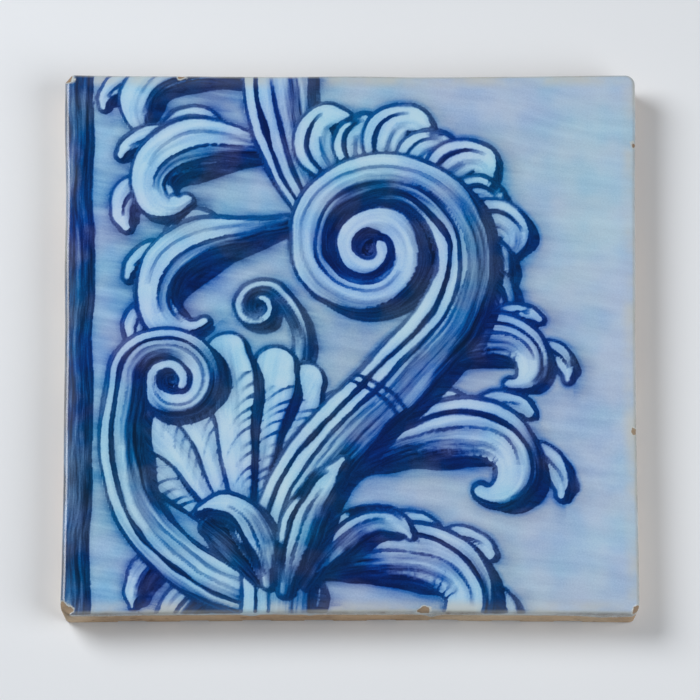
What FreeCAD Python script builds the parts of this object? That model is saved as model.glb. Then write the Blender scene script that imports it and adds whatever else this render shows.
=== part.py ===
import FreeCAD, Part
import math
import os
import Sketcher
from FreeCAD import Vector

# Azulejo wall tile: one square slab of fired earthenware, glazed on its face and keyed on its back.
# Frame: millimetres, +Z out of the glazed face, origin at the middle of the back, picture upright along +Y.
# The face is the widest section. The four walls lean in towards the back, so that laid tiles meet
# closely at the glaze and leave room for mortar behind. Firing has drawn each side in a little at its
# middle, which is why a laid joint is widest halfway along a tile.

DOCUMENT_NAME = "azulejo"
NODE_NAME = "azulejo_tile"

# Driving dimensions, in millimetres: alias, value, what it is.
SIZES = (
    ("side_length", 140.0, "face, corner to corner along one side, before its edges are rounded"),
    ("side_hollow", 0.5, "how far each side is drawn in at its middle"),
    ("thickness", 10.0, "from the back's lands to the glazed face"),
    ("back_inset", 1.2, "how far the back's edge stands inside the face's edge"),
    ("corner_round", 0.7, "radius of the back's corners, inside the bevel"),
    ("face_arris", 1.1, "radius of the glazed edge round the face"),
    ("back_arris", 0.6, "bevel of the raw edge round the back"),
    ("key_depth", 1.3, "depth of a mortar key cut into the back"),
    ("key_mouth", 8.0, "width of a mortar key at the back's surface"),
    ("key_floor", 6.4, "width of a mortar key at its floor"),
    ("key_pitch", 15.0, "from one mortar key to the next"),
    ("edge_land", 4.0, "least flat land kept beside the outermost keys"),
)

# An edge lies level at a height when both its ends are within this of it, in millimetres.
LEVEL = 1e-6


def make_sheet(doc):
    sheet = doc.addObject("Spreadsheet::Sheet", "sizes")
    for row, (alias, value, meaning) in enumerate(SIZES, start=1):
        sheet.set(f"A{row}", meaning)
        sheet.set(f"B{row}", str(value))
        sheet.setAlias(f"B{row}", alias)
    doc.recompute()
    return sheet


def origin_feature(body, role):
    """One of the body's own planes or axes."""
    return next(feature for feature in body.Origin.OriginFeatures if feature.Role == role)


def new_sketch(body, name, role):
    sketch = body.newObject("Sketcher::SketchObject", name)
    sketch.AttachmentSupport = [(origin_feature(body, role), "")]
    sketch.MapMode = "FlatFace"
    return sketch


def drive(sketch, constraint, name, expression):
    """Adds a constraint whose value follows the sheet."""
    index = sketch.addConstraint(constraint)
    sketch.renameConstraint(index, name)
    sketch.setExpression(f"Constraints.{name}", expression)


# Outline of the back: four shallow arcs that bow inwards, joined by four round corners.
# A side of length 2a that is drawn in by f lies on a circle of radius (a * a + f * f) / 2f, whose
# centre is outside the tile. The back's circles have the same centres as the face's, and are wider
# by the inset of the back. Each corner touches two of them from outside.
HALF_SIDE = "(sizes.side_length / 2)"
FACE_RADIUS = (
    f"(({HALF_SIDE} * {HALF_SIDE} + sizes.side_hollow * sizes.side_hollow)"
    " / (2 * sizes.side_hollow))"
)


def back_outline(body, sheet):
    sketch = new_sketch(body, "back_outline", "XY_Plane")
    half = sheet.side_length / 2
    hollow = sheet.side_hollow
    face_radius = (half * half + hollow * hollow) / (2 * hollow)
    reach = half - hollow + face_radius
    radius = face_radius + sheet.back_inset
    corner = sheet.corner_round + sheet.back_arris
    touch = radius + corner
    corner_at = (reach - math.sqrt(2 * touch * touch - reach * reach)) / 2
    half_span = math.atan2(corner_at, reach - corner_at)

    sides = []
    corners = []
    upward = Vector(0, 0, 1)
    for quarter in range(4):
        outward = quarter * math.pi / 2
        inward = outward + math.pi
        turn = FreeCAD.Rotation(upward, math.degrees(outward))
        side = Part.Circle(turn * Vector(reach, 0), upward, radius)
        side = Part.ArcOfCircle(side, inward - half_span, inward + half_span)
        sides.append(sketch.addGeometry(side))
        rounding = Part.Circle(turn * Vector(corner_at, corner_at), upward, corner)
        rounding = Part.ArcOfCircle(rounding, outward - half_span, outward + math.pi / 2 + half_span)
        corners.append(sketch.addGeometry(rounding))

    start, end, centre = 1, 2, 3
    origin, x_axis, y_axis = (-1, start), -1, -2
    for quarter, place in enumerate(("east", "north", "west", "south")):
        side, corner_arc, next_side = sides[quarter], corners[quarter], sides[(quarter + 1) % 4]
        sketch.addConstraint(Sketcher.Constraint("Tangent", corner_arc, start, side, start))
        sketch.addConstraint(Sketcher.Constraint("Tangent", corner_arc, end, next_side, end))
        axis, direction = (x_axis, "DistanceX") if quarter % 2 == 0 else (y_axis, "DistanceY")
        sketch.addConstraint(Sketcher.Constraint("PointOnObject", side, centre, axis))
        ends = (*origin, side, centre) if quarter < 2 else (side, centre, *origin)
        sizes = (
            ("reach", (direction, *ends, reach), f"{HALF_SIDE} - sizes.side_hollow + {FACE_RADIUS}"),
            ("radius", ("Radius", side, radius), f"{FACE_RADIUS} + sizes.back_inset"),
            ("corner", ("Radius", corner_arc, corner), "sizes.corner_round + sizes.back_arris"),
        )
        for name, constraint, expression in sizes:
            drive(sketch, Sketcher.Constraint(*constraint), f"{place}_{name}", expression)
    body.Document.recompute()
    return sketch


# The slab: padded up from its back, with walls that lean outwards to the wider face.
def slab(body, sheet):
    pad = body.newObject("PartDesign::Pad", "slab")
    pad.Profile = back_outline(body, sheet)
    pad.setExpression("Length", "sizes.thickness")
    pad.setExpression("TaperAngle", "atan(sizes.back_inset / sizes.thickness)")
    body.Document.recompute()
    return pad


def edges_at(feature, height):
    def is_level(edge):
        box = edge.BoundBox
        return abs(box.ZMin - height) < LEVEL and abs(box.ZMax - height) < LEVEL

    edges = enumerate(feature.Shape.Edges, start=1)
    return [f"Edge{number}" for number, edge in edges if is_level(edge)]


# The glaze leaves a soft arris round the face, and the raw edge round the back is bevelled.
def edged(body, sheet, base):
    arris = body.newObject("PartDesign::Fillet", "glazed_arris")
    arris.Base = (base, edges_at(base, sheet.thickness))
    arris.setExpression("Radius", "sizes.face_arris")
    body.Document.recompute()
    bevel = body.newObject("PartDesign::Chamfer", "back_bevel")
    bevel.Base = (arris, edges_at(arris, 0.0))
    bevel.setExpression("Size", "sizes.back_arris")
    body.Document.recompute()


# Mortar keys: straight trough-shaped grooves, an even number, so that a land crosses the middle.
KEY_PAIRS = (
    "floor((sizes.side_length - 2 * sizes.back_inset - 2 * sizes.edge_land"
    " - sizes.key_mouth + sizes.key_pitch) / (2 * sizes.key_pitch))"
)


def key_pairs(sheet):
    room = sheet.side_length - 2 * sheet.back_inset - 2 * sheet.edge_land
    return math.floor((room - sheet.key_mouth + sheet.key_pitch) / (2 * sheet.key_pitch))


def mortar_keys(body, sheet):
    sketch = new_sketch(body, "key_section", "XZ_Plane")
    middle = -(key_pairs(sheet) - 0.5) * sheet.key_pitch
    middle_expression = f"({KEY_PAIRS} - 0.5) * sizes.key_pitch"
    mouth = sheet.key_mouth / 2
    floor = sheet.key_floor / 2
    depth = sheet.key_depth
    points = [
        Vector(middle - mouth, 0),
        Vector(middle + mouth, 0),
        Vector(middle + floor, depth),
        Vector(middle - floor, depth),
    ]
    lines = [
        sketch.addGeometry(Part.LineSegment(start, end))
        for start, end in zip(points, points[1:] + points[:1])
    ]
    for index, line in enumerate(lines):
        following = lines[(index + 1) % len(lines)]
        sketch.addConstraint(Sketcher.Constraint("Coincident", line, 2, following, 1))
    opening, _, floor_line, _ = lines
    x_axis, origin = -1, (-1, 1)
    sketch.addConstraint(Sketcher.Constraint("PointOnObject", opening, 1, x_axis))
    sketch.addConstraint(Sketcher.Constraint("Horizontal", opening))
    sketch.addConstraint(Sketcher.Constraint("Horizontal", floor_line))
    sizes = (
        ("mouth", "DistanceX", (opening, 1, opening, 2), 2 * mouth, "sizes.key_mouth"),
        ("floor", "DistanceX", (floor_line, 2, floor_line, 1), 2 * floor, "sizes.key_floor"),
        ("depth", "DistanceY", (*origin, floor_line, 1), depth, "sizes.key_depth"),
        (
            "mouth_place", "DistanceX", (opening, 1, *origin), mouth - middle,
            f"{middle_expression} + sizes.key_mouth / 2",
        ),
        (
            "floor_place", "DistanceX", (floor_line, 2, *origin), floor - middle,
            f"{middle_expression} + sizes.key_floor / 2",
        ),
    )
    for name, kind, ends, value, expression in sizes:
        drive(sketch, Sketcher.Constraint(kind, *ends, value), name, expression)
    body.Document.recompute()

    key = body.newObject("PartDesign::Pocket", "mortar_key")
    key.Profile = sketch
    key.Type = "ThroughAll"
    key.SideType = "Symmetric"
    body.Document.recompute()

    keys = body.newObject("PartDesign::LinearPattern", "mortar_keys")
    keys.Originals = [key]
    keys.Direction = (origin_feature(body, "X_Axis"), [""])
    keys.Occurrences = 2 * key_pairs(sheet)
    keys.setExpression("Occurrences", f"2 * {KEY_PAIRS}")
    keys.Length = (2 * key_pairs(sheet) - 1) * sheet.key_pitch
    keys.setExpression("Length", f"(2 * {KEY_PAIRS} - 1) * sizes.key_pitch")
    body.Tip = keys
    body.Document.recompute()


def check(doc, body):
    for item in doc.Objects:
        if "Invalid" in item.State or "Error" in item.State:
            raise RuntimeError(f"{item.Name} failed: {item.State}")
    shape = body.Shape
    if shape.isNull() or not shape.isValid() or len(shape.Solids) != 1:
        raise RuntimeError("the tile is not one valid solid")


def main():
    doc = FreeCAD.newDocument(DOCUMENT_NAME)
    sheet = make_sheet(doc)
    body = doc.addObject("PartDesign::Body", "tile")
    body.Label = NODE_NAME
    edged(body, sheet, slab(body, sheet))
    mortar_keys(body, sheet)
    check(doc, body)
    os.makedirs("parts", exist_ok=True)
    body.Shape.exportStep(os.path.join("parts", f"{body.Label}.step"))
    box = body.Shape.BoundBox
    print(f"{body.Label}: {box.XLength:.2f} x {box.YLength:.2f} x {box.ZLength:.2f} mm,"
          f" {body.Shape.Volume / 1000:.1f} cm3, {2 * key_pairs(sheet)} mortar keys")


main()
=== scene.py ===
import math
import bpy
import numpy as np
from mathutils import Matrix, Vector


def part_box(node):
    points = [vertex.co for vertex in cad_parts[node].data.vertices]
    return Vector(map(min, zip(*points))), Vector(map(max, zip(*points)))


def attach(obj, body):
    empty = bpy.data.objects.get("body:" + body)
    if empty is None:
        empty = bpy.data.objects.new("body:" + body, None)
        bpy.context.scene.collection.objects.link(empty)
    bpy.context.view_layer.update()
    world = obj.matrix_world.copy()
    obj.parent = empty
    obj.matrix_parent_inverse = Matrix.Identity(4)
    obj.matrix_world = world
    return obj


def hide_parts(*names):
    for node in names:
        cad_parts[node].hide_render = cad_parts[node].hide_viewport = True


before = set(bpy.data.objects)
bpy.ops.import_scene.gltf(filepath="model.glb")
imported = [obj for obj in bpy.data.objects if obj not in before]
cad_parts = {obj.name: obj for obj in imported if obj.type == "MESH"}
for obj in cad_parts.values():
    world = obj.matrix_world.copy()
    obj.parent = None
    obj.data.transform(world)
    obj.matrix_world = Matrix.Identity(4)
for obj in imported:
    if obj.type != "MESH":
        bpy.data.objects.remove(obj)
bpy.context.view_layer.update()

# One hand-painted wall tile: a glazed shell over a fired clay slab, keyed on its back.
# The mesh and the painting are worked out in millimetres and put into the scene in metres.
mm = 0.001
farOff = 9.0            # stands for a distance that is well clear of every edge


def smooth(low, high, value):
    # 0 below low, 1 above high, eased between them as 3f^2 - 2f^3
    f = np.clip((value - low) / (high - low), 0.0, 1.0)
    return f * f * (3.0 - 2.0 * f)


noiseSize = 256
noiseTable = np.random.default_rng(1707).random((noiseSize, noiseSize))


def softNoise(u, v):
    # value noise: random numbers on a unit lattice, eased between the corners of its cells, from -1 to 1
    left = np.floor(u).astype(int)
    low = np.floor(v).astype(int)
    fu = smooth(0.0, 1.0, u - left)
    fv = smooth(0.0, 1.0, v - low)
    near, right, above, far = (noiseTable[(left + i) % noiseSize, (low + j) % noiseSize]
                               for j in (0, 1) for i in (0, 1))
    return 2.0 * ((near + (right - near) * fu) * (1 - fv) + (above + (far - above) * fu) * fv) - 1.0


# Tile body
lowCorner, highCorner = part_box("azulejo_tile")
tile = {
    "half": (highCorner.x - lowCorner.x) / 2 / mm,    # widest half-size, at the glazed arris
    "thickness": highCorner.z / mm,
    "hollow": 0.5,          # each side is drawn in at its middle
    "backInset": 1.2,       # the walls lean in by this much over the thickness
    "cornerRound": 2.5,     # corners of the outline at its widest, and the least that is left below
    "leastRound": 0.3,
    "arris": 1.1,
    "backBevel": 0.6,
    "keyDepth": 1.3,        # mortar keys: grooves along Y
    "keyMouth": 8.0,
    "keyFloor": 6.4,
    "keyPitch": 15.0,
    "keyCount": 8,
    "edgeCells": 3,         # cells of the back outside the outermost keys,
    "floorCells": 3,        # across the floor of a key
    "landCells": 4,         # and across the land between two keys
    "fineCells": 4,         # cells of the shell for each cell of the back
    "arrisRings": 5,        # rings of the shell over the arris, down the wall and under its foot
    "wallRings": 9,
    "backRings": 2,
    "upperRings": 2,        # rings of the arris that wave with the face
    "glazedRings": 7,       # rings of the wall in the glaze's material, which shows clay below its edge
    "cornerClear": 2.0,     # columns this near to a corner aren't drawn to the keys
    "backMargin": 2.0,      # strip between the fine shell and the coarser back
    "wave": 0.07,           # slow unevenness of the glazed face, and the lengths of its two noises
    "waveLengths": (31.0, 12.0),
    "waver": 0.3,           # unevenness of the outline, inwards
    "waverLength": 19.0,
    "waverFrom": 0.66,      # share of the half-size where the waver begins
    "sharpAngle": 38.0,     # edges that bend by more degrees than this are sharp
}


def keyLines(reach):
    # places across the back where its grid has lines: the edges of every key, and even cells between them
    mouth = tile["keyMouth"] / 2
    floor = tile["keyFloor"] / 2
    middles = (np.arange(tile["keyCount"]) - (tile["keyCount"] - 1) / 2) * tile["keyPitch"]
    edges = (middles[:, None] + (-mouth, -floor, floor, mouth)).ravel()
    edges = np.concatenate(((-reach,), edges, (reach,)))
    cells = [1, tile["floorCells"], 1, tile["landCells"]] * tile["keyCount"]
    cells = [tile["edgeCells"]] + cells[:-1] + [tile["edgeCells"]]
    runs = [np.linspace(*run, endpoint=False) for run in zip(edges[:-1], edges[1:], cells)]
    return np.concatenate(runs + [edges[-1:]])


backCells = len(keyLines(tile["half"])) - 1
shellCells = tile["fineCells"] * backCells
shellRings = shellCells // 2
faceRings = shellRings - tile["arrisRings"] - tile["wallRings"] - tile["backRings"]


def shellProfile():
    # for each ring of the shell, counted from the middle of the face: how far out it lies, how high, how
    # round its corners are, and how far its columns are drawn to the keys. The face is flat, the arris is an
    # arc that turns past upright, the wall leans in and ends in a bevel
    lean = math.atan(tile["backInset"] / tile["thickness"])
    flat = tile["half"] - tile["arris"]
    turn = np.linspace(0.0, math.pi / 2 + lean, tile["arrisRings"] + 1)[1:]
    arrisOut = flat + tile["arris"] * np.sin(turn)
    arrisHigh = tile["thickness"] - tile["arris"] * (1.0 - np.cos(turn))
    wallHigh = np.linspace(arrisHigh[-1], tile["backBevel"], tile["wallRings"] + 1)[1:]
    wallOut = arrisOut[-1] - (arrisHigh[-1] - wallHigh) * math.tan(lean)
    backOut = wallOut[-1] - tile["backBevel"] * np.arange(1, tile["backRings"] + 1)
    out = np.concatenate((np.linspace(0.0, flat, faceRings + 1), arrisOut, wallOut, backOut))
    faceHigh = np.full(faceRings + 1, tile["thickness"])
    high = np.concatenate((faceHigh, arrisHigh, wallHigh, np.zeros(tile["backRings"])))
    corner = np.maximum(tile["cornerRound"] + out - tile["half"], tile["leastRound"])
    corner = np.where(out < flat, 0.0, corner)
    inner = np.arange(faceRings + 1) / faceRings
    corner[: faceRings + 1] = (tile["cornerRound"] - tile["arris"]) * inner**8
    return out, high, corner, smooth(faceRings, shellRings, np.arange(shellRings + 1))


def keyHeight(x):
    # trough-shaped grooves: full depth over the floor, straight flanks out to the mouth, none beyond
    span = tile["keyPitch"] * tile["keyCount"] / 2
    off = np.abs((x + span) % tile["keyPitch"] - tile["keyPitch"] / 2)
    mouth = tile["keyMouth"] / 2
    floor = tile["keyFloor"] / 2
    rise = tile["keyDepth"] * np.clip((mouth - off) / (mouth - floor), 0.0, 1.0)
    return np.where(np.abs(x) < span, rise, 0.0)


def drawnIn(x, y):
    # each side is pulled in at its middle by a parabola along it, less and less towards the tile's centre,
    # and wavers inwards by a noise along it that is whole at the edge and ends inside the tile
    half = tile["half"]
    pull = tile["hollow"] / half
    rows = 1.0 + softNoise(y / tile["waverLength"] + 4.0 * np.sign(x), 3.0)
    columns = 1.0 + softNoise(x / tile["waverLength"] + 4.0 * np.sign(y), 23.0)
    newX = x * (1.0 - pull * (1.0 - np.minimum((y / half)**2, 1.0)))
    newY = y * (1.0 - pull * (1.0 - np.minimum((x / half)**2, 1.0)))
    start = tile["waverFrom"] * half
    newX = newX - np.sign(x) * tile["waver"] / 2 * rows * smooth(start, half, np.abs(x))
    newY = newY - np.sign(y) * tile["waver"] / 2 * columns * smooth(start, half, np.abs(y))
    return newX, newY


def shellGrid():
    # the shell is one square grid wrapped over face, arris and walls: a vertex's ring is the larger of its
    # two steps from the middle, and its place along the ring is the smaller one as a share of the larger
    out, high, corner, keyShare = shellProfile()
    step = np.arange(shellCells + 1) - shellRings
    column, row = (steps.ravel() for steps in np.meshgrid(step, step))
    ring = np.maximum(np.abs(column), np.abs(row))
    onEnds = np.abs(row) >= np.abs(column)       # sides that face along Y, where the keys come out
    along = np.where(onEnds, column, row) / np.maximum(ring, 1)
    straight = out[ring] - corner[ring]
    even = along * (straight + corner[ring] * math.pi / 4)
    lines = keyLines(tile["half"])
    snapped = np.interp((along + 1) / 2 * backCells, np.arange(len(lines)), lines)
    snapped = np.where(np.abs(snapped) > straight - tile["cornerClear"], even, snapped)
    place = even + (snapped - even) * np.where(onEnds, keyShare[ring], 0.0)
    bend = np.clip((np.abs(place) - straight) / np.maximum(corner[ring], 1e-6), 0.0, math.pi / 4)
    outward = straight + corner[ring] * np.cos(bend)
    sideways = np.sign(place) * (np.minimum(np.abs(place), straight) + corner[ring] * np.sin(bend))
    x = np.where(onEnds, sideways, np.sign(column) * outward)
    y = np.where(onEnds, np.sign(row) * outward, sideways)
    return x, y, high[ring], ring, column, row


chips = (   # place on the outline, size and depth
    {"at": (-69.2, 69.0), "size": 1.7, "deep": 0.6},
    {"at": (-69.3, -69.2), "size": 2.3, "deep": 0.9},
    {"at": (69.4, -23.0), "size": 1.3, "deep": 0.4},
    {"at": (18.0, -69.4), "size": 1.8, "deep": 0.6},
    {"at": (-41.0, 69.4), "size": 1.2, "deep": 0.4},
    {"at": (69.4, 51.0), "size": 1.0, "deep": 0.3},
    {"at": (69.2, -69.1), "size": 1.6, "deep": 0.5},
)
chipShape = {
    "rough": 0.35,          # how ragged a chip's edge is, and the length of that along the tile and down it
    "length": (1.1, 1.3),
    "downReach": 0.8,       # weight of the height in the distance from its middle
    "inwards": 0.6,         # how much of its depth goes in from the side, and how much down
    "downwards": 0.8,
    "glazeLip": 0.25,       # the glaze hangs over its edge by this much
}


def chipped(x, y, z):
    # each chip is a shallow scoop: deepest at its middle, falling off as 1 - (distance / size)^2
    lost = np.zeros(len(x))
    bare = np.full(len(x), -farOff)
    along, down = chipShape["length"]
    fall = chipShape["downReach"] * (z - tile["thickness"])
    for number, chip in enumerate(chips):
        dx = x - chip["at"][0]
        dy = y - chip["at"][1]
        rough = 1.0 + chipShape["rough"] * softNoise(x / along + 7 * number, y / along + z / down)
        distance = np.sqrt(dx**2 + dy**2 + fall**2) * rough
        scoop = 1.0 - (distance / chip["size"])**2
        lost = np.maximum(lost, chip["deep"] * np.clip(scoop, 0.0, 1.0))
        bare = np.maximum(bare, chip["size"] - distance - chipShape["glazeLip"])
    kept = 1.0 - chipShape["inwards"] * lost / np.maximum(np.hypot(x, y), 1.0)
    return x * kept, y * kept, z - chipShape["downwards"] * lost, bare


glazeEdge = {
    "depth": 2.5,           # of the glaze's lower edge below the face
    "slow": (0.55, 17.0),   # height and length of its slow and of its quick wandering
    "quick": (0.25, 4.5),
    "runs": (               # degrees round the tile from +X, how far the glaze ran down, half-width
        (14, 1.6, 1.5), (38, 1.0, 2.2), (72, 2.4, 1.3), (101, 1.2, 2.6), (128, 1.9, 1.6), (163, 1.1, 1.8),
        (196, 2.2, 1.4), (219, 0.9, 2.8), (251, 1.7, 1.7), (262, 1.2, 1.1), (286, 2.6, 1.5), (311, 1.0, 2.0),
        (337, 1.8, 1.4),
    ),
}


def glazeLimit(x, y, z):
    # how far below the lower edge of the glaze a point of the wall lies: the edge wanders round the tile by
    # two noises, and each run adds a rounded tongue, drop * exp(-(distance / half-width)^2)
    turn = np.degrees(np.arctan2(y, x))
    around = np.where(np.abs(x) > np.abs(y), y * np.sign(x), 4 * tile["half"] - x * np.sign(y))
    side = np.sign(x) + np.sign(y) * 3.0
    slow, slowLength = glazeEdge["slow"]
    quick, quickLength = glazeEdge["quick"]
    limit = glazeEdge["depth"] + slow * softNoise(around / slowLength + 4, side)
    limit = limit + quick * softNoise(around / quickLength, side + 8.0)
    for angle, drop, half in glazeEdge["runs"]:
        away = np.radians((turn - angle + 180.0) % 360.0 - 180.0) * tile["half"]
        limit = limit + drop * np.exp(-(away / half)**2)
    return tile["thickness"] - z - limit


def backGrid():
    # the back: even lines one way, lines on the keys' edges the other way
    wallFoot = tile["half"] - tile["backInset"] - tile["backBevel"] * (1 + tile["backRings"])
    reach = wallFoot - tile["backMargin"]
    x, y = np.meshgrid(keyLines(reach), np.linspace(-reach, reach, backCells + 1))
    return x.ravel(), y.ravel()


def tileSurface():
    # all vertices: the shell, drawn in, chipped, a little wavy on its face and keyed at its foot, then the
    # back. flatX and flatY are places before the chips, bare is the distance inside bare clay, and depth
    # counts the arris as 1, from the edge of the face outwards
    x, y, z, ring, column, row = shellGrid()
    flatX, flatY = drawnIn(x, y)
    x, y, z, bare = chipped(flatX, flatY, z)
    onFace = ring <= faceRings + tile["upperRings"]
    slow, quick = tile["waveLengths"]
    wave = 0.7 * softNoise(x / slow + 2, y / slow) + 0.3 * softNoise(x / quick, y / quick + 5)
    z = z + np.where(onFace, tile["wave"] * (wave - 0.9), 0.0)      # sunk, to stay within the thickness
    bare = np.where(onFace, bare, np.maximum(bare, glazeLimit(x, y, z)))
    z = np.where(ring > faceRings + tile["arrisRings"], np.maximum(z, keyHeight(x)), z)
    backX, backY = backGrid()
    backZ = keyHeight(backX)
    backX, backY = drawnIn(backX, backY)
    places = np.vstack((np.column_stack((x, y, z)), np.column_stack((backX, backY, backZ))))
    return {"places": places, "ring": ring, "column": column, "row": row, "flatX": flatX, "flatY": flatY,
            "bare": bare, "depth": (ring - faceRings) / tile["arrisRings"]}


def gridFaces(number):
    # a quad for each cell of a grid of vertex numbers
    quads = (number[:-1, :-1], number[:-1, 1:], number[1:, 1:], number[1:, :-1])
    return np.stack(quads, axis=-1).reshape(-1, 4)


def joinFaces(number, coarse):
    # a ring of faces round the back: each joins one edge of the back to the fine edges of the shell beside it
    steps = np.arange(backCells)
    ends = range(tile["fineCells"], -1, -1)
    sides = ((number[0], coarse[0]), (number[:, -1], coarse[:, -1]),
             (number[-1, ::-1], coarse[-1, ::-1]), (number[::-1, 0], coarse[::-1, 0]))
    joins = []
    for fine, edge in sides:
        fineEnds = [fine[tile["fineCells"] * steps + end] for end in ends]
        joins.append(np.column_stack([edge[steps], edge[steps + 1]] + fineEnds))
    return np.concatenate(joins)


exportMap = {           # in shares of the map's side
    "margin": 0.01, "shellSize": 0.80, "stripLeft": 0.83, "stripWidth": 0.16, "stripHeight": 0.97,
}


def exportSpots(surface, corners, shellCorners):
    # places in the export's map: the shell by its own grid, the back and its joins in a strip beside it
    share = surface["places"] / tile["half"] / 2 + 0.5
    u = exportMap["stripLeft"] + exportMap["stripWidth"] * share[:, 1]
    v = exportMap["margin"] + exportMap["stripHeight"] * share[:, 0]
    spots = np.column_stack((u, v))[corners]
    grid = np.column_stack((surface["column"], surface["row"])) / shellCells + 0.5
    grid = grid * exportMap["shellSize"] + exportMap["margin"]
    spots[:shellCorners] = grid[corners[:shellCorners]]
    return spots


def tileMesh(surface):
    # one closed mesh: the shell's quads, the back's quads, which face down, and the joins between them
    places = surface["places"] * mm
    count = len(surface["ring"])
    number = np.arange(count).reshape(shellCells + 1, shellCells + 1)
    coarse = np.arange(count, len(places)).reshape(backCells + 1, backCells + 1)
    shell = gridFaces(number)
    faces = (shell, gridFaces(coarse)[:, [0, 3, 2, 1]], joinFaces(number, coarse))
    corners = np.concatenate([part.ravel() for part in faces])
    sizes = np.concatenate([np.full(len(part), part.shape[1]) for part in faces])
    inClay = np.ones(len(sizes), bool)
    lastGlazed = faceRings + tile["arrisRings"] + tile["glazedRings"]
    inClay[: len(shell)] = surface["ring"][shell].max(axis=1) > lastGlazed
    mesh = bpy.data.meshes.new("azulejoTile")
    mesh.vertices.add(len(places))
    mesh.vertices.foreach_set("co", places.astype(np.float32).ravel())
    mesh.loops.add(len(corners))
    mesh.loops.foreach_set("vertex_index", corners.astype(np.int32))
    mesh.polygons.add(len(sizes))
    mesh.polygons.foreach_set("loop_start", (np.cumsum(sizes) - sizes).astype(np.int32))
    mesh.polygons.foreach_set("material_index", inClay.astype(np.int32))
    mesh.update(calc_edges=True)
    mesh.shade_smooth()
    mesh.set_sharp_from_angle(angle=math.radians(tile["sharpAngle"]))
    spots = exportSpots(surface, corners, shell.size)
    mesh.uv_layers.new(name="OFBake").uv.foreach_set("vector", spots.astype(np.float32).ravel())
    return mesh


print("mesh of the tile")
tileShape = tileSurface()
tilePiece = tileMesh(tileShape)


# Brushes
shadeWay = np.array((0.72, -0.69))       # away from the painter's light, which comes from the upper left
spineStep = 0.7         # between the points of a spine
runPoints = 24          # of a curve from one given point to the next
turnPoints = 14         # of a spiral for each turn
turnLength = 12.0       # places of a spine that are further apart along it belong to different turns
outskirts = 6.0         # how far round a form its paint can reach
blockSize = 8000        # vertices that are measured at once
stepReach = 0.8         # a vertex lies at most this far ahead of its point of a spine
finestLine = 0.42       # least half-width of a stroke, near the mesh's spacing; a finer one is paler instead
brushBreadth = 2.3      # a gap narrower than this between two lines is filled
toneReach = 0.4         # a line gives its tone to this much beside it
noLine = -5.0           # distance inside a line, where there is none
hand = {"slow": (0.55, 13.0), "quick": (0.14, 3.1)}     # how far the painter's hand wavers, over which length


def evenly(points):
    # the same line with its points a step apart along its length
    run = np.hypot(*np.diff(points, axis=0).T)
    arc = np.concatenate(([0.0], np.cumsum(run)))
    at = np.linspace(0.0, arc[-1], int(arc[-1] / spineStep) + 1)
    return np.column_stack((np.interp(at, arc, points[:, 0]), np.interp(at, arc, points[:, 1])))


def curveThrough(points):
    # a cubic from point to point; each tangent weighs the two runs beside it by their lengths
    p = np.array(points, float)
    run = np.hypot(*np.diff(p, axis=0).T)[:, None]
    way = np.diff(p, axis=0) / run
    inner = (way[:-1] * run[1:] + way[1:] * run[:-1]) / (run[:-1] + run[1:])
    slope = np.vstack((1.5 * way[0] - 0.5 * inner[0], inner, 1.5 * way[-1] - 0.5 * inner[-1]))
    f = np.linspace(0.0, 1.0, runPoints, endpoint=False)[:, None, None]
    cubic = ((2 * f**3 - 3 * f**2 + 1) * p[:-1] + (f**3 - 2 * f**2 + f) * run * slope[:-1]
             + (3 * f**2 - 2 * f**3) * p[1:] + (f**3 - f**2) * run * slope[1:])
    return evenly(np.vstack((cubic.transpose(1, 0, 2).reshape(-1, 2), p[-1])))


def curlFrom(root, heading, length, curl, late):
    # a line whose heading turns by curl degrees, most of it towards the tip: heading + curl * t^late
    t = np.linspace(0.0, 1.0, int(length / spineStep) + 1)
    way = np.radians(heading + curl * t**late)
    step = length / (len(t) - 1)
    x = root[0] + np.concatenate(([0.0], np.cumsum(np.cos(way[:-1])) * step))
    y = root[1] + np.concatenate(([0.0], np.cumsum(np.sin(way[:-1])) * step))
    return np.column_stack((x, y))


def scroll(points, centre, turns, inner):
    # an arm through given points that rolls into a logarithmic spiral round a centre from its last
    # point: for each degree turned, its radius shrinks by the same share
    dx = points[-1][0] - centre[0]
    dy = points[-1][1] - centre[1]
    outer = math.hypot(dx, dy)
    f = np.linspace(0.0, 1.0, int(turnPoints * abs(turns)) + 1)[1:]
    r = outer * (inner / outer)**f
    way = math.atan2(dy, dx) + 2.0 * math.pi * turns * f
    rolled = np.column_stack((centre[0] + r * np.cos(way), centre[1] + r * np.sin(way)))
    return curveThrough(np.vstack((np.array(points, float), rolled)))


def profile(spine, knots):
    # half-width along a spine from (place, half-width) pairs, eased between them
    t = np.linspace(0.0, 1.0, len(spine))
    places, sizes = np.array(knots, float).T
    i = np.clip(np.searchsorted(places, t, side="right") - 1, 0, len(places) - 2)
    f = smooth(0.0, 1.0, (t - places[i]) / (places[i + 1] - places[i]))
    return sizes[i] + (sizes[i + 1] - sizes[i]) * f


def newCanvas(x, y):
    # values at each vertex that the brushes change: wash, haze of cast shade, milk in the glaze, edge
    # (distance inside a line), tone of that line and flow (the brush's own coordinates). The painter's hand
    # wavers: every place is looked up a little to one side, by a slow and a quick noise
    slow, slowLength = hand["slow"]
    quick, quickLength = hand["quick"]
    slowX, slowY = x / slowLength, y / slowLength
    quickX, quickY = x / quickLength, y / quickLength
    wobbleX = slow * softNoise(slowX + 3.1, slowY) + quick * softNoise(quickX, quickY + 9.7)
    wobbleY = slow * softNoise(slowX, slowY + 51.3) + quick * softNoise(quickX + 31.7, quickY)
    count = len(x)
    return {"x": x + wobbleX, "y": y + wobbleY, "wash": np.zeros(count), "haze": np.zeros(count),
            "milk": np.zeros(count), "edge": np.full(count, noLine), "tone": np.full(count, 0.9),
            "flow": np.column_stack((x, y))}


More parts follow.
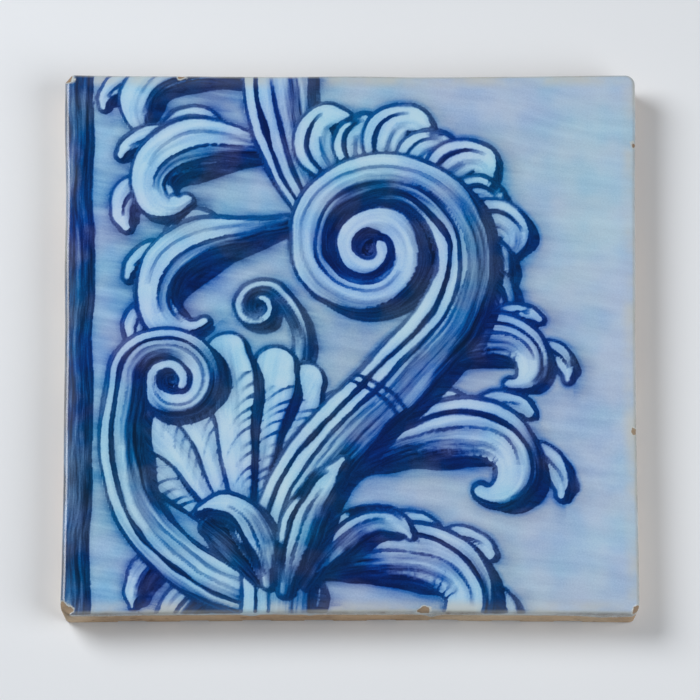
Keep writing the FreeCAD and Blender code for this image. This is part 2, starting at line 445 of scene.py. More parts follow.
def measure(canvas, spine, width, shift=(0.0, 0.0)):
    # a form is the union of discs along its spine. rim: distance inside it; arc: place along it; along: that
    # as a share of its length; across: signed distance from the spine, left positive; side: its sign; share:
    # it in half-widths; facing: how far the spine's left side looks away from the light; lean: how far a
    # point lies on the shaded side; gap: distance from the border between two turns, which is half of how
    # much deeper the best disc holds a point than the best disc of another turn
    x = canvas["x"] - shift[0]
    y = canvas["y"] - shift[1]
    reach = width.max() + outskirts
    low = spine.min(axis=0) - reach
    high = spine.max(axis=0) + reach
    near = np.nonzero((x > low[0]) & (x < high[0]) & (y > low[1]) & (y < high[1]))[0]
    arc = np.concatenate(([0.0], np.cumsum(np.hypot(*np.diff(spine, axis=0).T))))
    best = np.empty(len(near), int)
    gap = np.empty(len(near))
    for block in np.array_split(np.arange(len(near)), len(near) // blockSize + 1):
        dx = (x[near[block], None] - spine[None, :, 0]).astype(np.float32)
        dy = (y[near[block], None] - spine[None, :, 1]).astype(np.float32)
        inside = width[None, :] - np.sqrt(dx * dx + dy * dy)
        best[block] = np.argmax(inside, axis=1)
        apart = np.abs(arc[None, :] - arc[best[block], None]) > turnLength
        gap[block] = (inside.max(axis=1) - np.where(apart, inside, -farOff).max(axis=1)) / 2
    tangent = np.gradient(spine, axis=0)
    tangent = (tangent / np.hypot(tangent[:, 0], tangent[:, 1])[:, None])[best]
    half = width[best]
    dx = x[near] - spine[best, 0]
    dy = y[near] - spine[best, 1]
    ahead = np.clip(dx * tangent[:, 0] + dy * tangent[:, 1], -stepReach, stepReach)
    across = tangent[:, 0] * dy - tangent[:, 1] * dx
    distance = np.hypot(dx, dy)
    where = np.clip(arc[best] + ahead, 0.0, arc[-1])
    side = np.where(across < 0, -1.0, 1.0)
    facing = tangent[:, 0] * shadeWay[1] - tangent[:, 1] * shadeWay[0]
    lean = (np.column_stack((dx, dy)) - ahead[:, None] * tangent) @ shadeWay / half
    return {"near": near, "rim": half - distance, "arc": where, "along": where / arc[-1], "across": across,
            "side": side, "share": side * distance / half, "half": np.interp(where, arc, width),
            "facing": facing, "lean": lean, "gap": gap}


def inkIn(canvas, near, edge, tone):
    # a line adds to the dark lines already there: the greater distance inside a line wins, and it is never
    # paler than the wash under it or than a line that it crosses
    old = canvas["edge"][near]
    oldTone = canvas["tone"][near]
    tone = np.maximum(tone, canvas["wash"][near])
    newTone = np.where((edge > old) & (edge > -toneReach), tone, oldTone)
    crossing = np.minimum(edge, old) > -toneReach / 2
    canvas["edge"][near] = np.maximum(edge, old)
    canvas["tone"][near] = np.where(crossing, np.maximum(tone, oldTone), newTone)


def streaks(form, seed, wide, long):
    # bristle marks: noise that is long along the spine and short across it
    return softNoise(form["arc"] / long + seed * 7.31, form["across"] / wide + seed * 3.7)


castEdge = {
    "waves": (0.7, 8.0),    # height and length of the waves in its dark edge
    "inside": 0.2,          # how far that edge lies inside the moved form, and how much further at both ends
    "taper": 1.3,
    "ends": 0.14,           # share of the length that an end takes up
    "tone": 0.92,
    "hazeReach": 5.0,
}


def castShade(canvas, spine, width, look, seed):
    # the shade beside a form: the form moved away from the light, with an uneven dark edge that tapers
    # towards both ends, and a haze beyond it
    reach, grow, haze = look["shade"]
    form = measure(canvas, spine, width + grow, shadeWay * reach)
    near = form["near"]
    height, length = castEdge["waves"]
    waves = height * softNoise(form["arc"] / length + 5.1 * seed, 2.0 * form["side"] + seed)
    end = castEdge["ends"]
    taper = 1.0 - smooth(0.0, end, form["along"]) + smooth(1.0 - end, 1.0, form["along"])
    edge = form["rim"] - castEdge["inside"] + waves - castEdge["taper"] * taper
    tone = castEdge["tone"] + 0.08 * softNoise(form["arc"] / 5.0, form["across"] / 1.5 + seed)
    inkIn(canvas, near, edge, tone)
    patchy = 1.0 + 0.5 * softNoise(form["arc"] / 12.0 + seed, form["side"])
    thin = haze * smooth(-castEdge["hazeReach"], 0.8, form["rim"]) * patchy
    canvas["haze"][near] = np.maximum(canvas["haze"][near], thin)


brush = {
    "spread": 0.82,         # share of the half-width where the outermost strokes lie, and how far each strays
    "stray": 0.09,
    "start": (-0.15, 0.4),  # between which places along the form strokes start, and end
    "end": (0.62, 1.12),
    "size": (0.6, 1.35),
    "wet": (0.4, 0.45),     # strength and width of the wet edge
    "inLight": 0.07,        # strength of a stroke on the lit side
}


def layStrokes(canvas, form, look, seed):
    # brush strokes along the form, each at its own share of the half-width: darker where it lies in shade,
    # darker again along its own wet edges, and fading where the brush was lifted
    count, half, strength = look["strokes"]
    draw = np.random.default_rng(int(round(100 * seed)))
    wash = canvas["wash"][form["near"]]
    wet, wetWidth = brush["wet"]
    for share in np.linspace(-brush["spread"], brush["spread"], count):
        share = share + draw.uniform(-brush["stray"], brush["stray"])
        start = draw.uniform(*brush["start"])
        end = draw.uniform(*brush["end"])
        size = half * draw.uniform(*brush["size"])
        drift = 0.08 * softNoise(form["arc"] / 14.0 + 9.7 * share + seed, 0.0)
        f = np.clip((form["along"] - start) / (end - start), 0.0, 1.0)
        lift = smooth(0.0, 0.15, f) * (1.0 - smooth(0.7, 1.0, f))
        edge = size * np.sqrt(lift) - np.abs(form["share"] - share - drift) * form["half"]
        rich = 1.0 + wet * np.exp(-(edge / wetWidth)**2)
        shaded = brush["inLight"] + (1.0 - brush["inLight"]) * smooth(-0.3, 0.62, form["facing"] * share)
        paint = strength * lift * shaded * rich * smooth(-0.4, 0.4, edge)
        wash = wash + np.where(form["rim"] > 0, paint * (1.0 - 0.8 * wash), 0.0)
    canvas["wash"][form["near"]] = wash


flowLine = {
    "stray": (0.06, 11.0),  # how far a line strays from its share, and over which length
    "press": (0.35, 6.0),   # how much the hand's pressure changes, and over which length
    "least": 0.05,          # a line thinner than this isn't drawn
}


def layFlow(canvas, form, line, seed):
    # a line along the form at a share of its half-width, swelling and tapering between two places; where less
    # than a brush's breadth is left between it and the rim line, it runs out to the rim
    share, start, end, half, tone = line
    stray, strayLength = flowLine["stray"]
    press, pressLength = flowLine["press"]
    off = form["share"] - share - stray * softNoise(form["arc"] / strayLength + seed + share * 9, 0.0)
    f = np.clip((form["along"] - start) / (end - start), 0.0, 1.0)
    pressed = 1.0 + press * softNoise(form["arc"] / pressLength + 2.3 * seed, 5.0 * share)
    swell = half * pressed * np.clip(4.0 * f * (1 - f), 0.0, 1.0)**0.5
    drawn = swell > flowLine["least"]
    wash = canvas["wash"][form["near"]]
    tone = wash + (tone - wash) * np.clip(swell / finestLine, 0.0, 1.0)
    swell = np.where(drawn, np.maximum(swell, finestLine), 0.0)
    edge = swell - np.abs(off) * form["half"]
    room = (1.0 - abs(share)) * form["half"]
    merged = np.minimum(swell - 0.25, 3.0 * (brushBreadth - room))
    edge = np.where(off * share > 0, np.maximum(edge, merged), edge)
    inkIn(canvas, form["near"], np.where(drawn & (form["rim"] > 0.1), edge, noLine), tone)


hatching = {"jitter": 0.22, "least": 0.08}      # unevenness of the pitch; a thinner stroke isn't drawn


def layHatch(canvas, form, hatch, seed):
    # short strokes across the form from its shaded flank, bent along it, thinning and paling as they cross
    flank = np.sign(np.median(form["facing"][form["rim"] > 0]))
    into = (1.0 - form["share"] * flank) / 2.0
    run = form["arc"] + hatch["bend"] * into**2 * form["half"]
    number = np.floor(run / hatch["pitch"])
    jitter = hatching["jitter"] * softNoise(number * 3.3 + seed, 2.0)
    off = np.abs(run / hatch["pitch"] - number - 0.5 - jitter) * hatch["pitch"]
    reach = hatch["depth"] * (0.8 + 0.4 * softNoise(number * 1.7 + seed, seed))
    crossed = np.clip(into / reach, 0.0, 1.0)
    size = hatch["half"] * (1.0 - crossed**1.3)
    start, end = hatch["span"]
    drawn = (form["along"] > start) & (form["along"] < end) & (form["rim"] > 0) & (size > hatching["least"])
    wash = canvas["wash"][form["near"]]
    tone = hatch["tone"] - hatch["fade"] * crossed
    tone = wash + (tone - wash) * np.clip(size / finestLine, 0.0, 1.0)
    inkIn(canvas, form["near"], np.where(drawn, np.maximum(size, finestLine) - off, noLine), tone)


ringPair = {"apart": 2.3, "bow": 1.6, "half": 0.5, "tone": 0.84}        # two lines with a gap between them


def layRings(canvas, form, places):
    # pairs of short bowed lines across a stem: a line where the place along it, less a bow, is near a ring
    bow = ringPair["bow"] * (1.0 - form["share"]**2)
    for place in places:
        for apart in (0.0, ringPair["apart"]):
            edge = ringPair["half"] - np.abs(form["arc"] - place - apart - bow)
            inkIn(canvas, form["near"], np.where(form["rim"] > 0.3, edge, noLine), ringPair["tone"])


washing = {
    "streaks": (1.1, 14.0), # width and length of the streaks that make a change of tone ragged
    "soft": 0.16,           # how gradually the tone changes
    "rootSpan": 0.45,       # share of the length that the root's dark takes up
    "bristle": 0.04,        # strength of the bristle marks, their width and length
    "bristles": (0.8, 9.0),
}
outline = {
    "waves": (0.45, 7.0),   # how much the rim line swells, and over which length
    "tone": (0.86, 0.12),   # of the rim line, and how much darker it is on the shaded side
    "turnWaves": (0.35, 5.0),   # the same for the line between two turns
    "turnTone": 0.92,
}


def layForm(canvas, spine, width, look, seed):
    # a painted form: the shade that it casts beside it, washes in steps from its lit to its shaded flank,
    # strokes along it, a rim line that is heavier and darker on the shaded side, a line where two turns of a
    # scroll meet, then flow lines, hatching and rings
    if "shade" in look:
        castShade(canvas, spine, width, look, seed)
    form = measure(canvas, spine, width)
    near = form["near"]
    inside = form["rim"] > 0
    dark = form["lean"] + look["ragged"] * streaks(form, seed, *washing["streaks"])
    dark = dark + look.get("root", 0.0) * (1.0 - smooth(0.0, washing["rootSpan"], form["along"]))
    wash = np.full(len(near), look["tones"][0])
    for place, tone in zip(look["places"], look["tones"][1:]):
        wash = wash + (tone - wash) * smooth(place - washing["soft"], place + washing["soft"], dark)
    wash = wash + washing["bristle"] * streaks(form, seed + 0.37, *washing["bristles"])
    for layer, value in (("wash", wash), ("haze", 0.0), ("milk", 0.0), ("edge", noLine)):
        canvas[layer][near] = np.where(inside, value, canvas[layer][near])
    flow = np.column_stack((form["arc"], form["across"] + 11 * seed))
    canvas["flow"][near] = np.where(inside[:, None], flow, canvas["flow"][near])
    if "strokes" in look:
        layStrokes(canvas, form, look, seed)
    thin, thick = look["rim"]
    turned = np.clip(form["lean"] / np.maximum(np.abs(form["share"]), 0.2), -1.0, 1.0)
    half = thin + (thick - thin) * np.maximum(turned, 0.0)
    swell, length = outline["waves"]
    half = half * (1.0 + swell * softNoise(form["arc"] / length + 3.3 * seed, form["side"] * 3.0 + seed))
    half = np.maximum(half, finestLine)
    tone, darker = outline["tone"]
    inkIn(canvas, near, half - np.abs(form["rim"] - 0.5 * half), tone + darker * turned)
    if "turns" in look:
        swell, length = outline["turnWaves"]
        press = 1.0 + swell * softNoise(canvas["x"][near] / length + seed, canvas["y"][near] / length)
        edge = np.where(form["rim"] > -0.5, look["turns"] * press - form["gap"], noLine)
        inkIn(canvas, near, edge, outline["turnTone"])
    for line in look.get("lines", ()):
        layFlow(canvas, form, line, seed)
    if "hatch" in look:
        layHatch(canvas, form, look["hatch"], seed)
    layRings(canvas, form, look.get("rings", ()))


# Painting: a leafy scroll that can run on from tile to tile, beside a dark band
# How each kind of form is painted. tones: washes from lit to shaded; places: where they change; ragged: how
# unevenly; root: extra dark at its root; shade: reach, growth and haze of what it casts; rim: half-widths of
# its outline, lit and shaded; strokes: count, half-width, strength; lines: share, start, end, half-width,
# tone; turns: half-width of the line between two turns; rings: places along it; hatch: short strokes, where
# along it (span), how far across it (depth), how bent, and how much paler at their ends (fade)
looks = {
    "stem": {
        "tones": (0.0, 0.08, 0.32, 0.68), "places": (-0.25, 0.2, 0.62), "ragged": 0.3,
        "shade": (2.2, 0.3, 0.17), "rim": (0.52, 1.3), "strokes": (7, 1.0, 0.55),
        "lines": ((-0.48, 0.0, 0.98, 0.5, 0.56), (0.2, 0.02, 0.9, 0.6, 0.86), (0.58, 0.05, 0.97, 0.75, 0.95)),
    },
    "sheath": {
        "tones": (0.0, 0.08, 0.34, 0.7), "places": (-0.15, 0.25, 0.6), "ragged": 0.34, "root": 0.7,
        "shade": (2.3, 0.3, 0.18), "rim": (0.5, 1.2), "strokes": (6, 0.9, 0.5),
        "lines": ((-0.42, 0.1, 0.66, 0.4, 0.5), (0.05, 0.08, 0.78, 0.55, 0.8), (0.52, 0.05, 0.9, 0.66, 0.94)),
    },
    "barb": {
        "tones": (0.0, 0.07, 0.32, 0.64), "places": (0.0, 0.35, 0.7), "ragged": 0.33, "root": 0.8,
        "shade": (1.8, 0.2, 0.15), "rim": (0.48, 1.0), "strokes": (3, 0.75, 0.45),
        "lines": ((0.1, 0.1, 0.85, 0.52, 0.84),),
    },
    "flute": {
        "tones": (0.0, 0.03, 0.16, 0.46), "places": (0.0, 0.42, 0.76), "ragged": 0.3, "root": 0.9,
        "shade": (0.9, 0.1, 0.12), "rim": (0.5, 0.95), "strokes": (3, 0.8, 0.34),
        "hatch": {"pitch": 3.0, "half": 0.6, "span": (0.1, 0.9), "depth": 0.85, "bend": 2.4, "tone": 0.86,
                  "fade": 0.5},
    },
    "frill": {
        "tones": (0.0, 0.05, 0.24, 0.6), "places": (0.0, 0.36, 0.72), "ragged": 0.3, "root": 0.9,
        "shade": (2.0, 0.25, 0.18), "rim": (0.5, 1.15), "strokes": (4, 0.7, 0.45),
        "lines": ((-0.2, 0.05, 0.6, 0.48, 0.66), (0.42, 0.1, 0.82, 0.58, 0.9)),
    },
    "eye": {
        "tones": (0.66, 0.76, 0.86, 0.94), "places": (-0.35, 0.15, 0.6), "ragged": 0.5, "rim": (0.48, 0.9),
    },
    "band": {
        "tones": (0.74, 0.79, 0.84, 0.89), "places": (-0.4, 0.0, 0.5), "ragged": 0.9, "rim": (0.3, 0.35),
    },
}
looks["lobe"] = looks["sheath"] | {
    "hatch": {"pitch": 2.7, "half": 0.5, "span": (0.25, 0.72), "depth": 0.36, "bend": 1.3, "tone": 0.86,
              "fade": 0.35},
}
looks["sideScroll"] = looks["stem"] | {
    "lines": ((-0.45, 0.0, 0.6, 0.5, 0.56), (0.38, 0.02, 0.85, 0.7, 0.94), (-0.08, 0.45, 0.93, 0.46, 0.6),
              (-0.02, 0.02, 0.3, 0.45, 0.5)),
    "turns": 0.6,
}
looks["mainScroll"] = looks["stem"] | {
    "lines": ((-0.48, -0.1, 0.84, 0.5, 0.56), (0.2, -0.08, 0.82, 0.6, 0.86), (0.58, -0.06, 0.84, 0.75, 0.95),
              (-0.27, 0.1, 0.52, 0.45, 0.56), (-0.03, 0.06, 0.58, 0.46, 0.66)),
    "turns": 0.75, "rings": (68.0,),
}

ground = {
    "wash": 0.27,           # at the left, paler by the fade towards the right
    "fade": 0.08,
    "fadeSpan": (10.0, 72.0),
    "cloud": 0.045,
    "streak": 0.018,
    "streakLean": 0.16,
    "milkSpan": (-80.0, 60.0),   # the glaze is milky towards the right
    "bristles": (0.6, 0.34),     # how fine the brush marks are, along and across
}


def paintGround(canvas, x, y):
    # a thin wash laid with a broad brush: slow clouds, and long faint streaks that lean a little
    cloud = softNoise(x / 34.0 + 5, y / 27.0 + 11) + 0.5 * softNoise(x / 15.0, y / 13.0 + 3)
    lean = y + ground["streakLean"] * x + 2.0 * softNoise(x / 31.0 + 8, y / 31.0)
    streak = 0.6 * softNoise(x / 46.0 + 5, lean / 7.0) + 0.4 * softNoise(x / 30.0, lean / 2.9 + 40)
    fade = ground["fade"] * smooth(*ground["fadeSpan"], x + 0.15 * y)
    canvas["wash"] = ground["wash"] - fade + ground["cloud"] * cloud + ground["streak"] * streak
    canvas["milk"] = smooth(*ground["milkSpan"], x + 12.0 * cloud)
    canvas["flow"] = np.column_stack((x, lean)) * ground["bristles"]


lobeShape = ((0.0, 0.4), (0.48, 1.0), (0.78, 0.74))     # places along it, shares of its half-width
barb = {
    "places": (0.70, 0.26), # along the leaf, first and last
    "swing": 50.0,          # degrees outwards from the leaf's own heading, and back again
    "curl": 95.0,
    "length": 2.25,         # in half-widths of the leaf
    "half": 0.52,
    "late": 1.6,
    "tip": 0.5,
    "seedStep": 0.21,
}


def lobe(canvas, root, heading, length, curl, half, seed, late=2.6, look="lobe", tip=0.3):
    # a leaf lobe: narrow root, full middle, rolled tip
    spine = curlFrom(root, heading, length, curl, late)
    knots = [(place, share * half) for place, share in lobeShape + ((1.0, tip),)]
    layForm(canvas, spine, profile(spine, knots), looks[look], seed)


def leaf(canvas, root, heading, length, curl, half, seed, late=2.6, barbs=3):
    # a lobe with smaller lobes along its outer edge, laid from the tip back and half hidden under it
    out = -math.copysign(1.0, curl)
    spine = curlFrom(root, heading, length, curl, late)
    for number, t in enumerate(np.linspace(*barb["places"], barbs)):
        at = spine[int(t * (len(spine) - 1))]
        way = heading + curl * t**late + out * barb["swing"]
        lobe(canvas, at, way, barb["length"] * half, -out * barb["curl"], barb["half"] * half,
             seed + barb["seedStep"] * number, barb["late"], "barb", barb["tip"])
    lobe(canvas, root, heading, length, curl, half, seed, late)


def paintAlong(canvas, plan):
    # a form along a line through given points
    spine = curveThrough(plan["line"])
    layForm(canvas, spine, profile(spine, plan["halves"]), looks[plan["look"]], plan["seed"])


def paintScroll(canvas, plan):
    # the dark hollow that a scroll rolls into, strokes round a ring of half its size, then the scroll itself
    x, y = plan["centre"]
    half = plan["eye"] / 2
    turn = np.radians(np.arange(0.0, 361.0, 5.0))
    ring = np.column_stack((x + half * np.cos(turn), y + half * np.sin(turn)))
    layForm(canvas, ring, np.full(len(ring), half), looks["eye"], plan["seed"] - 1)
    spine = scroll(plan["arm"], plan["centre"], plan["turns"], plan["inner"])
    layForm(canvas, spine, profile(spine, plan["halves"]), looks[plan["look"]], plan["seed"])


# Leaves and lobes: where each is rooted, its heading, how it curls, how near to its tip that happens (late)
upperLeaves = (
    {"root": (-16, 30), "heading": 188, "length": 56, "curl": 215, "half": 7.0, "seed": 22},
    {"root": (-18, 68), "heading": 160, "length": 47, "curl": 150, "half": 6.6, "seed": 20, "late": 2.2,
     "barbs": 2},
    {"root": (-18, 50), "heading": 172, "length": 48, "curl": 235, "half": 7.6, "seed": 21, "late": 2.8},
)
acanthus = (
    {"root": (14, -8), "heading": 34, "length": 46, "curl": -235, "half": 6.6, "seed": 11, "late": 2.8},
    {"root": (0, -32), "heading": 26, "length": 62, "curl": -250, "half": 8.2, "seed": 13, "late": 3.0},
    {"root": (-10, -58), "heading": 14, "length": 60, "curl": -235, "half": 8.2, "seed": 15, "late": 2.8},
)
sideLobes = (
    {"root": (-30, -60), "heading": 205, "length": 26, "curl": 70, "half": 4.6, "seed": 43, "late": 1.6},
    {"root": (-42, -52), "heading": 215, "length": 20, "curl": 60, "half": 4.0, "seed": 44, "late": 1.6},
)
sheath = (      # leaves that the main stem grows out of
    {"root": (-20, -62), "heading": 96, "length": 30, "curl": 120, "half": 5.0, "seed": 16, "late": 2.2},
    {"root": (-11, -62), "heading": 58, "length": 34, "curl": -120, "half": 5.0, "seed": 17, "late": 2.4},
    {"root": (-16, -64), "heading": 78, "length": 36, "curl": -30, "half": 5.6, "seed": 18, "late": 1.6},
)

# A stem, a dark hollow under the sheath's left leaf, and the band
upperStem = {
    "line": ((-2, 26), (-14, 48), (-18, 76)), "halves": ((0.0, 6.0), (1.0, 9.0)), "look": "stem", "seed": 1,
}
sheathHollow = {
    "line": ((-22, -60), (-27.5, -53), (-33.5, -47.6)), "halves": ((0.0, 3.0), (0.6, 4.6), (1.0, 3.0)),
    "look": "eye", "seed": 19,
}
sideBand = {
    "line": ((-66.6, -76), (-66.4, 0), (-66.6, 76)), "halves": ((0.0, 3.9), (1.0, 3.9)),
    "look": "band", "seed": 70,
}

# Scrolls: an arm through points, the centre that it rolls round, turns, inner radius and size of its dark eye
tendril = {
    "arm": ((-13, -8), (-12, 2), (-16, 11)), "centre": (-22, 8.5), "turns": 1.15, "inner": 2.3, "eye": 4.4,
    "halves": ((0.0, 2.6), (0.6, 2.3), (1.0, 1.5)), "look": "barb", "seed": 62,
}
sideScroll = {
    "arm": ((-12, -66), (-34, -61), (-49, -47), (-55, -28), (-54.5, -12)), "centre": (-43, -10),
    "turns": -1.6, "inner": 3.0, "eye": 8.0, "halves": ((0.0, 6.5), (0.4, 5.8), (0.7, 4.6), (1.0, 2.2)),
    "look": "sideScroll", "seed": 3,
}
mainScroll = {
    "arm": ((-18, -76), (-17, -56), (-9, -33), (9, -12), (25, 8)), "centre": (5.0, 24.0),
    "turns": 2.15, "inner": 3.6, "eye": 18.2,
    "halves": ((0.0, 9.0), (0.35, 8.6), (0.5, 7.2), (0.75, 5.2), (1.0, 2.6)),
    "look": "mainScroll", "seed": 5,
}
shell = {
    "root": (-25, -54),
    "headings": (130, 64, 118, 76, 106, 84, 95),    # of the flutes, the middle one last
    "length": 51,           # of the middle one, and how much shorter the others are for each degree off it
    "shorter": 0.26,
    "bend": 0.5,
    "late": 1.5,
    "halves": ((0.0, 1.6), (0.6, 4.9), (0.86, 6.8), (1.0, 5.4)),
    "seed": 30,
}
frill = {
    "angles": range(114, -23, -17),     # round the main scroll's centre
    "reach": 20.0,
    "sizes": ((22.0, 6.0), (17.5, 5.0)),    # length and half-width, longer and shorter in turn
    "swing": 16,
    "curl": -165,
    "late": 2.2,
    "tip": 0.5,
    "seed": 50,
}


def paintShell(canvas):
    # flutes that fan out from one root, outer ones first
    for number, heading in enumerate(shell["headings"]):
        off = heading - shell["headings"][-1]
        length = shell["length"] - shell["shorter"] * abs(off)
        spine = curlFrom(shell["root"], heading, length, shell["bend"] * off, shell["late"])
        layForm(canvas, spine, profile(spine, shell["halves"]), looks["flute"], shell["seed"] + number)


def paintFrill(canvas):
    # overlapping lobes round the outside of the main scroll's volute, each rolled at its tip
    x, y = mainScroll["centre"]
    for number, angle in enumerate(frill["angles"]):
        way = math.radians(angle)
        root = (x + frill["reach"] * math.cos(way), y + frill["reach"] * math.sin(way))
        length, half = frill["sizes"][number % 2]
        lobe(canvas, root, angle + frill["swing"], length, frill["curl"], half, frill["seed"] + number,
             frill["late"], "frill", frill["tip"])


def paintedCanvas(x, y):
    # the order of the brush: ground first, then forms from the back to the front
    canvas = newCanvas(x, y)
    paintGround(canvas, x, y)
    for plan in upperLeaves:
        leaf(canvas, **plan)
    paintAlong(canvas, upperStem)
    paintScroll(canvas, tendril)
    paintShell(canvas)
    for plan in sideLobes:
        lobe(canvas, **plan)
    paintScroll(canvas, sideScroll)
    paintFrill(canvas)
    for plan in acanthus:
        leaf(canvas, **plan)
    paintScroll(canvas, mainScroll)
    paintAlong(canvas, sheathHollow)
    for plan in sheath:
        lobe(canvas, look="sheath", **plan)
    paintAlong(canvas, sideBand)
    canvas["wash"] = canvas["wash"] + canvas["haze"]
    return canvas


paintEnd = {
    "span": (0.7, 1.3),     # the brush stops just over the arris, which is 1 deep
    "wash": 0.05,           # the glaze on the walls is almost bare of colour
    "lines": 6.0,           # how much further from every line it is
}


def paintTile(mesh, surface):
    # the painting as attributes of the mesh: painted values on the shell, plain ones on the back
    canvas = paintedCanvas(surface["flatX"], surface["flatY"])
    over = smooth(*paintEnd["span"], surface["depth"])
    canvas["wash"] = canvas["wash"] * (1.0 - over) + paintEnd["wash"] * over
    canvas["edge"] = canvas["edge"] - paintEnd["lines"] * over
    layers = (("wash", canvas["wash"], 0.0), ("milk", canvas["milk"], 0.0), ("inkEdge", canvas["edge"], 0.0),
              ("inkTone", canvas["tone"], 0.0), ("bareEdge", surface["bare"], farOff),
              ("rimDepth", surface["depth"], farOff))
    for name, values, onBack in layers:
        whole = np.full(len(mesh.vertices), onBack, np.float32)
        whole[: len(values)] = values
        mesh.attributes.new(name, "FLOAT", "POINT").data.foreach_set("value", whole)
    flow = np.zeros((len(mesh.vertices), 3), np.float32)
    flow[: len(over), :2] = canvas["flow"]
    mesh.attributes.new("brushWay", "FLOAT_VECTOR", "POINT").data.foreach_set("vector", flow.ravel())


paintTile(tilePiece, tileShape)
print("painting laid on the face")


# Materials
def srgb(red, green, blue):
    # a screen colour from 0 to 255 as the linear colour that the nodes take
    values = [c / 255.0 for c in (red, green, blue)]
    return [c / 12.92 if c <= 0.04045 else ((c + 0.055) / 1.055)**2.4 for c in values] + [1.0]


def addNode(tree, kind, inputs=None, **settings):
    # a node with its settings; each input is a value or a socket to link from
    node = tree.nodes.new(kind)
    for name, value in settings.items():
        setattr(node, name, value)
    for name, value in (inputs or {}).items():
        socket = node.inputs[name]
        if isinstance(value, bpy.types.NodeSocket):
            tree.links.new(value, socket)
        else:
            socket.default_value = value
    return node


def maths(tree, operation, first, second, third=0.0):
    # one sum on values or sockets
    node = addNode(tree, "ShaderNodeMath", {0: first, 1: second, 2: third}, operation=operation)
    return node.outputs[0]


def times(tree, first, second):
    # a product
    return maths(tree, "MULTIPLY", first, second)


def ranged(tree, value, low, high, start=0.0, end=1.0):
    # start below low, end above high, eased between them
    inputs = {"Value": value, "From Min": low, "From Max": high, "To Min": start, "To Max": end}
    return addNode(tree, "ShaderNodeMapRange", inputs, interpolation_type="SMOOTHSTEP").outputs["Result"]


def noise(tree, vector, scale, detail=3.0, roughness=0.55):
    # cloudy values from 0 to 1, with scale clouds per unit
    inputs = {"Vector": vector, "Scale": scale, "Detail": detail, "Roughness": roughness}
    return addNode(tree, "ShaderNodeTexNoise", inputs).outputs["Fac"]


def scattered(tree, vector, scale):
    # distance from the nearest of scattered points, about scale of them per unit
    return addNode(tree, "ShaderNodeTexVoronoi", {"Vector": vector, "Scale": scale}).outputs["Distance"]


def stretched(tree, vector, factors):
    # coordinates times a factor along each axis, so that a pattern is long where the factor is small
    return addNode(tree, "ShaderNodeVectorMath", {0: vector, 1: factors}, operation="MULTIPLY").outputs[0]


def between(tree, share, first, second):
    # a value from first to second by a share
    return addNode(tree, "ShaderNodeMix", {"Factor": share, "A": first, "B": second}).outputs["Result"]


def mixed(tree, share, first, second):
    # a colour from first to second by a share; 6, 7 and 2 are the node's sockets for colours
    return addNode(tree, "ShaderNodeMix", {0: share, 6: first, 7: second}, data_type="RGBA").outputs[2]


def attribute(tree, name, output="Fac"):
    # one of the mesh's own attributes
    node = addNode(tree, "ShaderNodeAttribute", attribute_name=name, attribute_type="GEOMETRY")
    return node.outputs[output]


def rampOf(tree, value, stops):
    # colours by value, from (place, colour) pairs
    node = addNode(tree, "ShaderNodeValToRGB", {"Fac": value})
    elements = node.color_ramp.elements
    while len(elements) < len(stops):
        elements.new(1.0)
    for element, (place, colour) in zip(elements, stops):
        element.position = place
        element.color = srgb(*colour)
    return node.outputs["Color"]


def newGroup(name, inputs, outputs):
    # an empty node group with named sockets
    group = bpy.data.node_groups.new(name, "ShaderNodeTree")
    for socket, kind, value in inputs:
        made = group.interface.new_socket(socket, in_out="INPUT", socket_type=kind)
        if value is not None:
            made.default_value = value
    for socket, kind in outputs:
        group.interface.new_socket(socket, in_out="OUTPUT", socket_type=kind)
    return group, group.nodes.new("NodeGroupInput"), group.nodes.new("NodeGroupOutput")


def useGroup(tree, group, inputs):
    # a node group placed in a material, with its own values
    return addNode(tree, "ShaderNodeGroup", inputs, node_tree=group)


def newMaterial(name):
    # a material with nothing in it but its shader
    material = bpy.data.materials.new(name)
    material.use_nodes = True
    tree = material.node_tree
    tree.nodes.clear()
    shader = addNode(tree, "ShaderNodeBsdfPrincipled")
    output = addNode(tree, "ShaderNodeOutputMaterial")
    tree.links.new(shader.outputs["BSDF"], output.inputs["Surface"])
    return material, tree, shader


def dress(tree, shader, colour, rough, height, bump):
    # colour, roughness and a bump, given as its strength and depth, on the material's shader
    strength, depth = bump
    bumped = addNode(tree, "ShaderNodeBump", {"Strength": strength, "Distance": depth, "Height": height})
    tree.links.new(colour, shader.inputs["Base Color"])
    tree.links.new(rough, shader.inputs["Roughness"])
    tree.links.new(bumped.outputs["Normal"], shader.inputs["Normal"])


clay = {
    "body": ((0.3, (178, 142, 108)), (0.5, (203, 172, 138)), (0.72, (219, 196, 166))),
    "sand": (120, 88, 64),
    # colour of the painted shade in the pits
    "pit": (104, 76, 56),
    "grains": 1500.0,       # of sand, per metre, and pits
    "pits": 330.0,
    "drag": (226, 206, 178),    # marks of the press on the back, and dirt there
    "dirt": (128, 110, 92),
    "bump": (0.5, 0.3 * mm),
}


